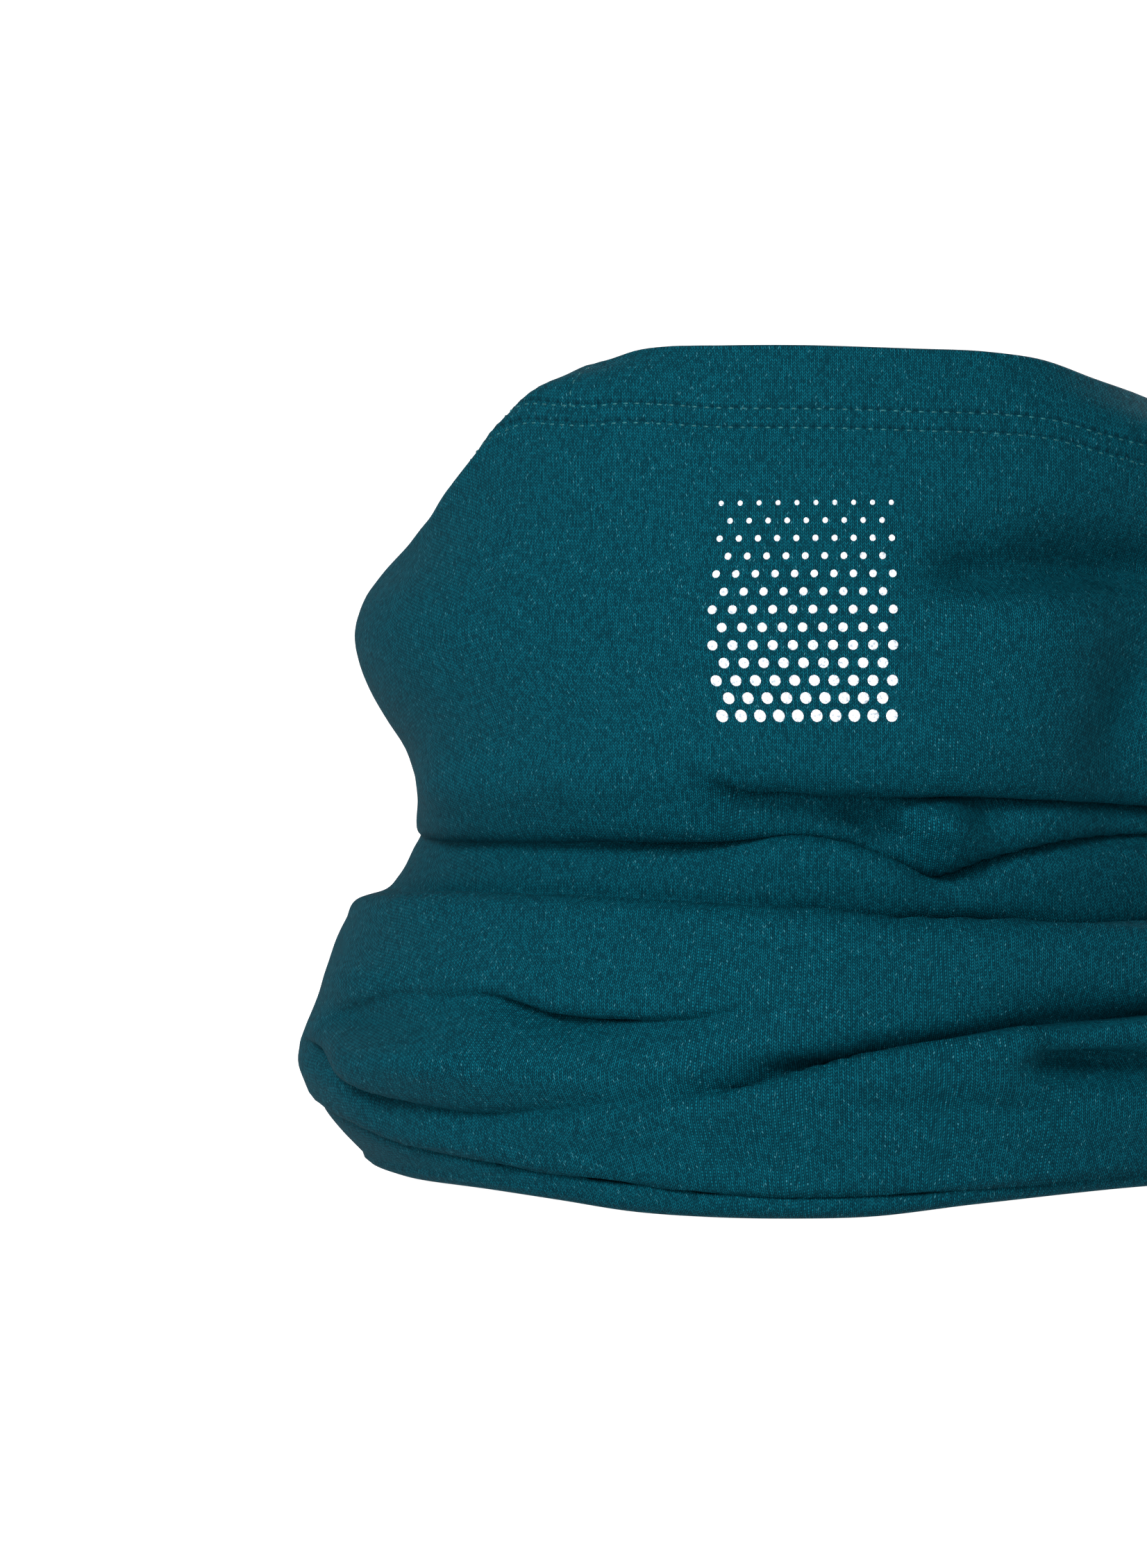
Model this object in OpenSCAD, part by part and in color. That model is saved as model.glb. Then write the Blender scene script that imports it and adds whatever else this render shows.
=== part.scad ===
// Neck gaiter: one knitted panel sewn into a tube, hemmed at both ends, in the shape it takes when worn.
// Millimetres, +Z up, front towards -Y. The origin is the middle of the neck passage, where a neck holds it.

/* [Tube] */
// Widest width of the upper part, over the chin
upper_w = 172; // [168:1:178]
// Widest width of the lower part, over the collar
lower_w = 193; // [188:1:198]
// Outside width across the folds at the neck
neck_w = 151; // [148:1:154]
// Inside diameter of the neck passage
neck_bore = 132; // [128:1:136]
// Length of the straight stretch of the neck passage
neck_len = 18; // [12:1:20]
// Height at the front
front_h = 142; // [138:1:146]
// Height at the back
back_h = 98; // [94:1:104]
// Height of the middle of the neck above the lower edge
neck_h = 66; // [64:1:68]

/* [Cloth] */
// Thickness of the knitted cloth
cloth_t = 0.9; // [0.7:0.1:1]
// Depth of each hem
hem_d = 15; // [14:1:18]
// Height of the lower end that is turned under, up the inside
turn_h = 30; // [28:1:32]

/* [Stitching] */
// Distance from a hem's fold to its first row of stitches
row_in = 10; // [9:0.5:11]
// Distance between a hem's two rows of stitches
row_gap = 3.2; // [2.8:0.2:3.6]
// Thread diameter
thread_d = 0.4; // [0.3:0.05:0.5]
// Where the seam runs, as degrees from the front towards the wearer's right
seam_at = 37; // [30:1:45]
// Width of the seam's turned edges
seam_w = 6; // [5:0.5:7]

/* [Print] */
// Number of dots in a full row
print_columns = 10; // [8:1:11]
// Number of rows of dots
print_rows = 13; // [10:1:13]
// Distance between the middles of two dots in a row
print_pitch = 3.3; // [3:0.1:3.4]
// Distance between rows
print_row_pitch = 2.9; // [2.6:0.1:3]
// Diameter of the largest dots, in the lowest row
dot_big = 2.1; // [1.8:0.1:2.3]
// Diameter of the smallest dots, in the highest row
dot_small = 0.9; // [0.7:0.1:1.2]
// Distance of the print's middle from the front line, towards the wearer's right
print_x = 11; // [6:1:16]
// Height of the print's middle above the neck
print_z = 33; // [31:1:35]

/* [Care label] */
// Height of the label's middle above the neck
label_z = -26; // [-28:1:-24]
// Width of the label's ribbon
label_w = 12; // [8:1:14]
// Thickness of the folded ribbon
label_t = 0.5; // [0.3:0.1:0.6]
// How far the label reaches round the tube, in degrees
label_turn = 13; // [8:1:16]
// Where the label starts, in degrees past the seam
label_start = 4; // [3:1:6]

/* [Hidden] */
$fn = 96;

teal = [0.02, 0.30, 0.35];
thread_teal = [0.05, 0.42, 0.45];
silver = [0.86, 0.87, 0.90];
label_white = [0.90, 0.90, 0.88];

neck_r = neck_bore / 2;
z_low = -neck_h;             // the lower edge
z_front = front_h - neck_h;  // the top edge at the front
z_turn = z_low + turn_h;     // the fold of the lower hem, inside
ply_gap = 0.1;               // between plies that lie on each other
thread_gap = 0.08;           // between a thread and the cloth
looper_room = 0.6;           // between the outer ply and the lower hem, where the looper thread lies
fold_h = 1;                  // height of the bend where cloth turns back on itself
funnel = 2.2;                // how fast the bunched folds thin out above and below the neck
level_step = 3;              // height between points of a profile
rim_step = 6;                // distance between points of the top edge, from front to back
rim_reach = 96;              // how far in front and behind the top edge is worked out
spare_h = 4;                 // how far the tube runs past the top edge before it is cut
cut_h = 60;                  // height of the block that cuts the top edge
far = 130;                   // beyond the outside of the tube
row_steps = 120;             // points round a needle thread of the top hem
zigzag_steps = 160;          // points round a looper thread
settle_rounds = 12;          // rounds that find a height below the top edge
film_t = 0.12;               // thickness of the print's film

// The top hem: where its inner ply and the bend that joins it to the outer ply start, below the top edge.
// The low heights are where their rings start, under everything that is kept of them.
hem_start = 0.3;
bend_start = 0.6;
hem_low = 6;
bend_low = 9;

// The closing seam's strip and its threads.
seam_recess = 1.2;           // extra depth of the neck passage along the seam
seam_side = 0.5;             // how much wider than the strip that recess is
seam_above_turn = 2;         // from the lower hem's fold up to the strip
seam_below_hem = 7;          // from the top hem's raw edge down to the strip, at the front
seam_margin = 1;             // from an end of the strip to its threads
seam_stitch = 2;             // height of one stitch
needle_in = 0.8;             // from the strip's sewn side to the needle thread
looper_in = 1.5;             // from that side to the inner looper thread
edge_in = 0.3;               // from the strip's raw edge to the inner looper thread
edge_low = 0.5;              // where the outer looper thread meets the lower ply
label_gap = 0.3;             // between the outer ply and the label

// Depths below the outside face, at the lower end: outer ply, lower hem, turned-under ply.
hem_depth = cloth_t + looper_room;
turn_depth = hem_depth + cloth_t + ply_gap;
turn_inside = turn_depth + cloth_t;

// Outside radius of the tube against height above the lower edge.
outer_keys = [
    [0, lower_w / 2 - 14.5],
    [8, lower_w / 2 - 8.5],
    [23, lower_w / 2],
    [36, lower_w / 2 - 4],
    [50, lower_w / 2 - 9],
    [neck_h - 9, neck_w / 2 + 3.5],
    [neck_h, neck_w / 2],
    [neck_h + 10, neck_w / 2 + 1.5],
    [88, upper_w / 2 - 2],
    [98, upper_w / 2],
    [108, upper_w / 2 - 2],
    [120, upper_w / 2 - 6],
    [front_h, upper_w / 2 - 9.5]
];

// Height of the top edge, from 1 at the front to 0 at the back, against distance behind the neck's axis.
rim_keys = [
    [-100, 1], [-78, 1], [-69, 0.97], [-59, 0.89], [-45, 0.79], [-30, 0.68], [0, 0.49], [30, 0.28], [60, 0.1],
    [82, 0], [100, 0]
];

// A smooth curve through a list of [place, value] keys.
function stretch(keys, x, i = 0) = (i >= len(keys) - 2 || x < keys[i + 1][0]) ? i : stretch(keys, x, i + 1);
function slope(keys, i) =
    let (a = max(i - 1, 0), b = min(i + 1, len(keys) - 1))
    (keys[b][1] - keys[a][1]) / (keys[b][0] - keys[a][0]);
function curve(keys, x) =
    let (
        i = stretch(keys, x),
        w = keys[i + 1][0] - keys[i][0],
        t = (x - keys[i][0]) / w
    )
    (2 * t ^ 3 - 3 * t ^ 2 + 1) * keys[i][1] + (t ^ 3 - 2 * t ^ 2 + t) * w * slope(keys, i)
        + (3 * t ^ 2 - 2 * t ^ 3) * keys[i + 1][1] + (t ^ 3 - t ^ 2) * w * slope(keys, i + 1);

// Outside radius at a height in the part's frame, and how the front leans there, in degrees.
function outside(z) = curve(outer_keys, z + neck_h);
function lean(z) = atan(outside(z + 0.5) - outside(z - 0.5));

// The inside of the panel: one ply in from the outside, and the neck passage where the folds bunch up.
function inside(z) = min(outside(z) - cloth_t, neck_r + funnel * max(0, abs(z) - neck_len / 2));

// A place on the cloth at an angle from the front, at a height, some depth below the outside face.
function at(a, z, depth) = [(outside(z) - depth) * sin(a), -(outside(z) - depth) * cos(a), z];

// The top edge seen from the side, and the same edge moved down the cloth by d.
rim_ys = [for (y = [-rim_reach:rim_step:rim_reach]) y];
function rim(y) = z_low + back_h + (front_h - back_h) * curve(rim_keys, y);
function rim_slope(y) = (rim(y + 1) - rim(y - 1)) / 2;
function rim_line(d) = [
    for (y = rim_ys)
        [y + d * rim_slope(y) / norm([1, rim_slope(y)]), rim(y) - d / norm([1, rim_slope(y)])]
];

// A place on the cloth below the top edge, found by settling the height in a few rounds.
function settle(line, a, z, rounds) =
    rounds == 0 ? z : settle(line, a, curve(line, -outside(z) * cos(a)), rounds - 1);
function below_rim(line, a, depth) = at(a, settle(line, a, z_front / 2, settle_rounds), depth);

// Heights in even steps, and a profile of revolution between two depths below the outside face.
function levels(low, high) =
    let (n = ceil((high - low) / level_step)) [for (i = [0:n]) low + (high - low) * i / n];
function band(low, high, shallow, deep) =
    let (zs = levels(low, high), n = len(zs))
    concat(
        [for (z = zs) [outside(z) - shallow, z]],
        [for (i = [n - 1:-1:0]) [outside(zs[i]) - deep, zs[i]]]
    );

// Everything between the top edge moved down by two distances, as a block across the tube.
module below_edge(upper, lower) {
    upper_line = rim_line(upper);
    lower_line = rim_line(lower);
    rotate([90, 0, 90])
        linear_extrude(height = 2 * far, center = true)
            polygon(concat(upper_line, [for (i = [len(lower_line) - 1:-1:0]) lower_line[i]]));
}

// A block along the seam, some distance either side of it, from one height to another.
module along_seam(left, right, low, high) {
    rotate([0, 0, -seam_at]) translate([left, -far, low]) cube([right - left, far, high - low]);
}

// A thread swept along points. Each ring faces outward from the tube, and the ends meet if closed is true.
function unit(v) = v / norm(v);
function heading(path, i, closed) =
    let (
        n = len(path),
        a = closed ? (i + n - 1) % n : max(i - 1, 0),
        b = closed ? (i + 1) % n : min(i + 1, n - 1)
    )
    unit(path[b] - path[a]);
module thread(path, d, sides = 6, closed = true) {
    n = len(path);
    rings = [
        for (i = [0:n - 1])
            let (
                t = heading(path, i, closed),
                out = unit([path[i][0], path[i][1], 0]),
                u = unit(out - (out * t) * t),
                v = cross(t, u)
            )
            for (k = [0:sides - 1]) path[i] + d / 2 * (u * cos(360 * k / sides) + v * sin(360 * k / sides))
    ];
    walls = [
        for (i = [0:n - (closed ? 1 : 2)], k = [0:sides - 1])
            let (j = (i + 1) % n, m = (k + 1) % sides)
            [i * sides + k, j * sides + k, j * sides + m, i * sides + m]
    ];
    ends = closed ? [] : [
        [for (k = [0:sides - 1]) k],
        [for (k = [sides - 1:-1:0]) (n - 1) * sides + k]
    ];
    polyhedron(rings, concat(walls, ends));
}

// The panel's cross-section all round. At the lower end the cloth turns under and up the inside, and its
// hem folds back between the plies. The folds at the neck are drawn as one thick ring.
function wall_profile() =
    let (
        top = z_front + spare_h,
        outer = levels(z_low, top),
        inner = levels(z_low + fold_h, top),
        n = len(inner),
        turned = band(z_low + fold_h, z_turn, turn_inside, turn_depth),
        half = len(turned) / 2,
        hem = band(z_turn - hem_d, z_turn, hem_depth, hem_depth + cloth_t)
    )
    concat(
        [for (i = [0:n - 1]) [inside(inner[i]), inner[i]]],
        [for (i = [len(outer) - 1:-1:0]) [outside(outer[i]), outer[i]]],
        [[outside(z_low) - turn_inside, z_low]],
        [for (i = [0:half - 1]) turned[i]],
        [for (i = [len(hem) / 2 - 1:-1:0]) hem[i]],
        [for (i = [len(hem) - 1:-1:len(hem) / 2]) if (hem[i][1] < z_turn - fold_h) hem[i]],
        [for (d = [hem_depth + cloth_t, turn_depth]) [outside(z_turn - fold_h) - d, z_turn - fold_h]],
        [for (i = [half:len(turned) - 1]) if (turned[i][1] < z_turn - fold_h) turned[i]]
    );

// Both edges of the panel where the seam joins them, laid to one side inside.
seam_r = neck_r + 2 * cloth_t + seam_recess;
seam_low = z_turn + seam_above_turn;
seam_top = z_front - hem_d - seam_below_hem;
function seam_line(z) = min(outside(z) - cloth_t, max(seam_r, inside(z))) - ply_gap;
module seam_allowance() {
    t = 2 * cloth_t;
    corners = [[-seam_w / 2, 0], [seam_w / 2, 0], [seam_w / 2, t], [-seam_w / 2, t]];
    zs = levels(seam_low, seam_top);
    n = len(zs);
    color(teal)
        rotate([0, 0, -seam_at])
            polyhedron(
                [for (z = zs, c = corners) [c[0], c[1] - seam_line(z), z]],
                concat(
                    [
                        for (i = [0:n - 2], k = [0:3])
                            let (m = (k + 1) % 4)
                            [i * 4 + k, i * 4 + m, (i + 1) * 4 + m, (i + 1) * 4 + k]
                    ],
                    [[3, 2, 1, 0], [for (k = [0:3]) (n - 1) * 4 + k]]
                )
            );
}

// The one knitted panel, closed round the body, with its top hem turned in.
module tube_panel() {
    hem_inside = 2 * cloth_t + ply_gap;
    color(teal) {
        difference() {
            rotate_extrude() polygon(wall_profile());
            below_edge(-cut_h, 0);
            intersection() {
                translate([0, 0, -neck_len]) cylinder(r = seam_r, h = 2 * neck_len);
                along_seam(-seam_w / 2 - seam_side, seam_w / 2 + seam_side, -neck_len, neck_len);
            }
        }
        intersection() {
            rotate_extrude() polygon(band(hem_low, z_front, cloth_t + ply_gap, hem_inside));
            below_edge(hem_start, hem_d);
        }
        intersection() {
            rotate_extrude() polygon(band(bend_low, z_front, cloth_t / 2, hem_inside - cloth_t / 2));
            below_edge(bend_start, bend_start + fold_h);
        }
    }
}

// Hem threads. Needle threads lie on the outside of a hem, and the looper thread zigzags between them inside.
module top_row(d) {
    line = rim_line(d);
    depth = -thread_d / 2 - thread_gap;
    color(thread_teal)
        thread([for (i = [0:row_steps - 1]) below_rim(line, i * 360 / row_steps, depth)], thread_d);
}
module top_hem_needle_thread_upper() {
    top_row(row_in);
}
module top_hem_needle_thread_lower() {
    top_row(row_in + row_gap);
}
module top_hem_looper_thread() {
    rows = [rim_line(row_in), rim_line(row_in + row_gap)];
    depth = 2 * cloth_t + ply_gap + thread_d / 2 + thread_gap;
    color(thread_teal)
        thread([
            for (i = [0:zigzag_steps - 1])
                below_rim(rows[i % 2], i * 360 / zigzag_steps, depth)
        ], thread_d, 4);
}

module lower_row(up) {
    z = z_turn - up;
    color(thread_teal)
        rotate_extrude()
            translate([outside(z) - turn_inside - thread_d / 2 - thread_gap, z])
                circle(d = thread_d, $fn = 16);
}
module lower_hem_needle_thread_upper() {
    lower_row(row_in);
}
module lower_hem_needle_thread_lower() {
    lower_row(row_in + row_gap);
}
module lower_hem_looper_thread() {
    z = z_turn - row_in;
    color(thread_teal)
        thread([
            for (i = [0:zigzag_steps - 1])
                at(i * 360 / zigzag_steps, z - (i % 2) * row_gap, cloth_t + looper_room / 2)
        ], looper_room / 2, 4);
}

// Seam threads: the needle thread and one looper on the strip's inner face, and one looper on its edge.
function seam_point(x, z, rise) =
    let (r = seam_line(z) - rise)
    [x * cos(seam_at) - r * sin(seam_at), -x * sin(seam_at) - r * cos(seam_at), z];
seam_rise = 2 * cloth_t + thread_d / 2 + thread_gap;
seam_zs = [for (z = [seam_low + seam_margin:seam_stitch:seam_top - seam_margin]) z];
module seam_needle_thread() {
    color(thread_teal)
        thread([for (z = seam_zs) seam_point(-seam_w / 2 + needle_in, z, seam_rise)], thread_d, 6, false);
}
module seam_inner_looper_thread() {
    ends = [-seam_w / 2 + looper_in, seam_w / 2 - edge_in];
    color(thread_teal)
        thread([
            for (i = [0:len(seam_zs) - 1])
                seam_point(ends[i % 2], seam_zs[i], seam_rise)
        ], thread_d, 4, false);
}
module seam_outer_looper_thread() {
    x = seam_w / 2 + thread_d / 2 + thread_gap;
    rises = [edge_low, 2 * cloth_t - edge_in];
    color(thread_teal)
        thread([
            for (i = [0:len(seam_zs) - 1])
                seam_point(x, seam_zs[i], rises[i % 2])
        ], thread_d / 2, 4, false);
}

// Reflective print: round dots in offset rows, smaller towards the top.
module reflective_print() {
    color(silver)
        for (row = [0:print_rows - 1], i = [0:print_columns - 1 - row % 2]) {
            z = print_z + (row - (print_rows - 1) / 2) * print_row_pitch;
            x = (i - (print_columns - 1 - row % 2) / 2) * print_pitch - print_x;
            d = dot_big + (dot_small - dot_big) * row / (print_rows - 1);
            rotate([0, 0, x / outside(z) * 180 / PI])
                translate([0, -outside(z) - thread_gap, z])
                    rotate([90 + lean(z), 0, 0])
                        cylinder(d = d, h = film_t, $fn = 32);
        }
}

// Care label: a folded ribbon with its ends in the seam, lying against the inside below the neck.
module care_label() {
    depth = cloth_t + label_gap;
    ribbon = band(label_z - label_w / 2, label_z + label_w / 2, depth, depth + label_t);
    color(label_white)
        rotate([0, 0, -90 - seam_at + label_start])
            rotate_extrude(angle = label_turn)
                polygon(ribbon);
}

tube_panel();
seam_allowance();
top_hem_needle_thread_upper();
top_hem_needle_thread_lower();
top_hem_looper_thread();
lower_hem_needle_thread_upper();
lower_hem_needle_thread_lower();
lower_hem_looper_thread();
seam_needle_thread();
seam_inner_looper_thread();
seam_outer_looper_thread();
reflective_print();
care_label();
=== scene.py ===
import math

import bpy
import numpy as np
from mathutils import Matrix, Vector


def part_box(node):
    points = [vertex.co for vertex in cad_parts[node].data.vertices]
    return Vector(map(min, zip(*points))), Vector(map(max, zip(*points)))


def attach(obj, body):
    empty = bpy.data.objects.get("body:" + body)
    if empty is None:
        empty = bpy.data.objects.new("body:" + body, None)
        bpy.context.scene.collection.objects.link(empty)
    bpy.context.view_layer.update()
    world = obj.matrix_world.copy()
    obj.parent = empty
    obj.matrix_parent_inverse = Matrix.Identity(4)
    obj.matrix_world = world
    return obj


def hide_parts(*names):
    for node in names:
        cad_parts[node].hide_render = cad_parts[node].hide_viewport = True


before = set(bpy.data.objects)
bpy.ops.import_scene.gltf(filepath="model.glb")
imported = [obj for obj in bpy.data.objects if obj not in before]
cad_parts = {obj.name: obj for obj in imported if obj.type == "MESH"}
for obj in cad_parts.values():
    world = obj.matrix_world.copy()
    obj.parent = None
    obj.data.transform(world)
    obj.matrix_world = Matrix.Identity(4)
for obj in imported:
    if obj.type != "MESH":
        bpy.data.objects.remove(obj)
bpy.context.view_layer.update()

# Everything below is worked out in millimetres and turned into metres when a mesh is made.
MM = 0.001
tube_low, tube_high = (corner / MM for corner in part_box("tube_panel"))

# ---------------------------------------------------------------- sizes, in mm

Z_LOW = tube_low.z                            # the lower edge
Z_TOP = tube_high.z                           # the top edge at the front
LOWER_R = (tube_high.x - tube_low.x) / 2      # the widest part, over the collar
UPPER_R = LOWER_R - 10.5                      # the upper part, over the chin
NECK_R = LOWER_R - 21                         # the outside of the folds at the neck

CLOTH_T = 0.7                                 # cloth thickness
PLY_GAP = 1.1                                 # between the middles of two plies that lie together
HEM_D = 15                                    # depth of each hem
ROW_IN = 10                                   # a hem's first row of stitches, from its fold
ROW_GAP = 3.2                                 # between a hem's two rows
TURN_H = 30                                   # height of the lower end turned under
TURN_INSIDE = 7                               # how far inside the smooth tube the turned-under cloth lies
TURN_FREE = 12                                # height from which its waves and its clearance are full
# each wave's size, and by how many degrees it turns for a degree round the tube and for a mm up it
TURN_WAVES = [(0.8, 3, 4), (0.5, 7, -9)]
ROLL = 2.6                                    # height of the rounded fold at the lower edge
STITCH = 2.2                                  # length of one stitch
THREAD_R = 0.17
SEAM_W = 6                                    # width of the closing seam's turned edges

SEAM_AT = -38                                 # the seam's angle from the front, in degrees
TUBE_FLAT = 528                               # distance round the flat tube
WALE = 0.67                                   # width of one column of knit loops
COURSE = 0.52                                 # height of one row of knit loops

STITCHES = 2 * round(TUBE_FLAT / STITCH / 2)  # in one row: an even number, so that a zigzag closes
HOLE_R = 0.6                                  # how far from a row of stitches the painted shade reaches

HEM_STEP = 0.35                               # how far out the top hem's second ply pushes the first
HEM_FADE_FROM, HEM_FADE = 1.5, 2              # it fades from this far above the raw edge, over this height
ROW_DIP, ROW_DIP_W = 0.3, 0.7                 # depth and half width of the dent along a row of stitches
SEAM_DIP, SEAM_DIP_W = 0.4, 0.6               # the same for the seam's end, the half width in degrees
FOOT_STILL = 1                                # the last of the cloth, which folds don't pull down
ROLL_DEPTH = 0.88                             # how far down the lower fold goes, as a share of ROLL
FACE_CLEARANCE = 0.05                         # between the cloth and the seam's turned edges
POCKET_CLEARANCE = 2.5 * PLY_GAP              # between a deep pocket and the turned-under ply

# Where the outer ply has its points: columns round the tube, and for each stretch down it the first drop
# below the top edge, the last one and the number of rows. The rows are close at the hem, wide apart where
# the cloth is smooth, and close where it folds.
COLUMNS = 296
STRETCHES = [(0, 16.5, 26), (18.5, 58, 18), (59, 139, 86)]
EVEN_TO = 20                                  # down to this drop every row is level with the top edge
# rows of the parts that are turned in: top hem, lower edge, turned-under ply and lower hem
HEM_ROWS, ROLL_ROWS, TURN_ROWS, LOWER_HEM_ROWS = 8, 6, 12, 6


# ---------------------------------------------------------------- curves

def through(keys, at, around=False):
    """A smooth curve through {place: value} keys. Places are degrees round the tube if around is true."""
    keys = np.array(list(keys.items()), float)
    if around:
        turn = np.array([[360.0, 0.0]])
        keys = np.vstack([keys[-2:] - turn, keys, keys[:2] + turn])
        at = (np.asarray(at) + 180) % 360 - 180
    places, values = keys.T
    slopes = np.gradient(values, places)
    at = np.clip(at, places[0], places[-1])
    i = np.clip(np.searchsorted(places, at, side="right") - 1, 0, len(places) - 2)
    width = places[i + 1] - places[i]
    t = (at - places[i]) / width
    return (
        (2 * t**3 - 3 * t**2 + 1) * values[i]
        + (t**3 - 2 * t**2 + t) * width * slopes[i]
        + (3 * t**2 - 2 * t**3) * values[i + 1]
        + (t**3 - t**2) * width * slopes[i + 1]
    )


def hump(x, width):
    """1 at x = 0, falling smoothly to nothing a few widths away."""
    return np.exp(-((x / width) ** 2))


def rise(x):
    """0 below x = 0, 1 above x = 1, smooth between."""
    x = np.clip(x, 0, 1)
    return x * x * (3 - 2 * x)


def degrees_from(at, angle):
    """How far an angle is from another one, the shorter way round."""
    return (angle - at + 180) % 360 - 180


def unit(v):
    """Directions of length 1. The small number keeps it from dividing by zero."""
    return v / (np.linalg.norm(v, axis=-1, keepdims=True) + 1e-12)


# ---------------------------------------------------------------- the tube before it folds

# Half width and half depth against height, from the lower edge to the top. The step at SHOULDER is
# where the collar comes out from under the neck.
SHOULDER = -14.2
SHOULDER_REACH = 13                           # how far above and below it the tube follows the neck folds
SIDE = {
    Z_LOW: LOWER_R - 24, -62.5: LOWER_R - 16, -57.5: LOWER_R - 10, -52.5: LOWER_R - 5.5,
    -47.5: LOWER_R - 1.8, -43: LOWER_R, -38: LOWER_R - 1.8, -28: LOWER_R - 6, -18.5: LOWER_R - 9.4,
    -15.8: LOWER_R - 10.8, -13.4: LOWER_R - 15.5, -11: LOWER_R - 18, -4: NECK_R + 0.2,
    1: NECK_R - 0.8, 6: NECK_R - 0.3, 11: NECK_R + 1.5, 16: NECK_R + 4.8, 21: UPPER_R - 2.8,
    26: UPPER_R - 0.8, 31: UPPER_R, 36: UPPER_R - 1.2, 41: UPPER_R - 3.5, 47: UPPER_R - 5,
    58: UPPER_R - 6, Z_TOP: UPPER_R - 8,
}
FRONT = {
    Z_LOW: LOWER_R - 7.5, -62: LOWER_R - 7, -56: LOWER_R - 6.2, -48: LOWER_R - 4, -40: LOWER_R - 3,
    -28: LOWER_R - 5, -19: LOWER_R - 8, -16: LOWER_R - 10.5, -13.5: LOWER_R - 16.5,
    -11: LOWER_R - 18.8, -3: NECK_R + 2, 4: NECK_R + 4.5, 11: NECK_R + 9.3, 22: UPPER_R - 1.9,
    34: UPPER_R - 1.5, 50: UPPER_R - 3, Z_TOP: UPPER_R - 7,
}
BACK = {
    Z_LOW: LOWER_R - 16, -60: LOWER_R - 9.5, -50: LOWER_R - 3.5, -38: LOWER_R - 2,
    -24: LOWER_R - 6.5, -17: LOWER_R - 10.5, -13.5: LOWER_R - 16, -8: LOWER_R - 19, 0: NECK_R + 1,
    8: NECK_R + 4.5, 20: UPPER_R - 2, 34: UPPER_R - 1, Z_TOP: UPPER_R - 8,
}

# Height of the top edge round the tube.
RIM = {
    -180: 33, -150: 34.5, -120: 37, -100: 40, -90: 42.3, -80: 45.5, -72: 48.5, -65: 51.5, -60: 55.8,
    -55: 60.5, -50: 67, -45: 72.2, -40: 74, -35: 74.8, -30: 76, -25: 76.3, -18: 76, -6: 75.7,
    6: 75.2, 15: 74.9, 22: 74, 30: 71.2, 38: 68.8, 50: 64.5, 65: 57, 80: 50, 100: 43, 125: 37.5,
    150: 34.5,
}
# Height of the lower edge.
FOOT = {
    -180: -65.5, -120: -64.5, -95: -62, -80: -62, -68: -62.5, -49: -63, -39: -64, -30: -65.3,
    -20: -65.8, -10: -65.8, 0: -65.4, 12: -63.6, 30: -61.7, 60: -61.5, 90: -63, 130: -65,
}
# How far over the top edge leans, in degrees, and how far below it the cloth starts to bend.
LEAN = {
    -180: 30, -130: 35, -105: 60, -88: 84, -60: 88, -52: 86, -46: 76, -40: 66, -34: 54, -29: 42,
    -24: 28, -18: 14, 0: 10, 15: 12, 25: 22, 36: 32, 50: 40, 80: 50, 110: 45, 150: 32,
}
BEND = {
    -180: 12, -105: 14, -90: 18, -62: 17.4, -54: 16, -47: 12.4, -40: 9.6, -32: 8.4, -20: 8, 0: 9,
    40: 10, 150: 12,
}
BEND_LENGTH = 6                               # how much cloth the bend itself takes
BEND_PARTS = 12                               # parts that the leaning cloth is summed up in


# ---------------------------------------------------------------- folds and hollows

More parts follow.
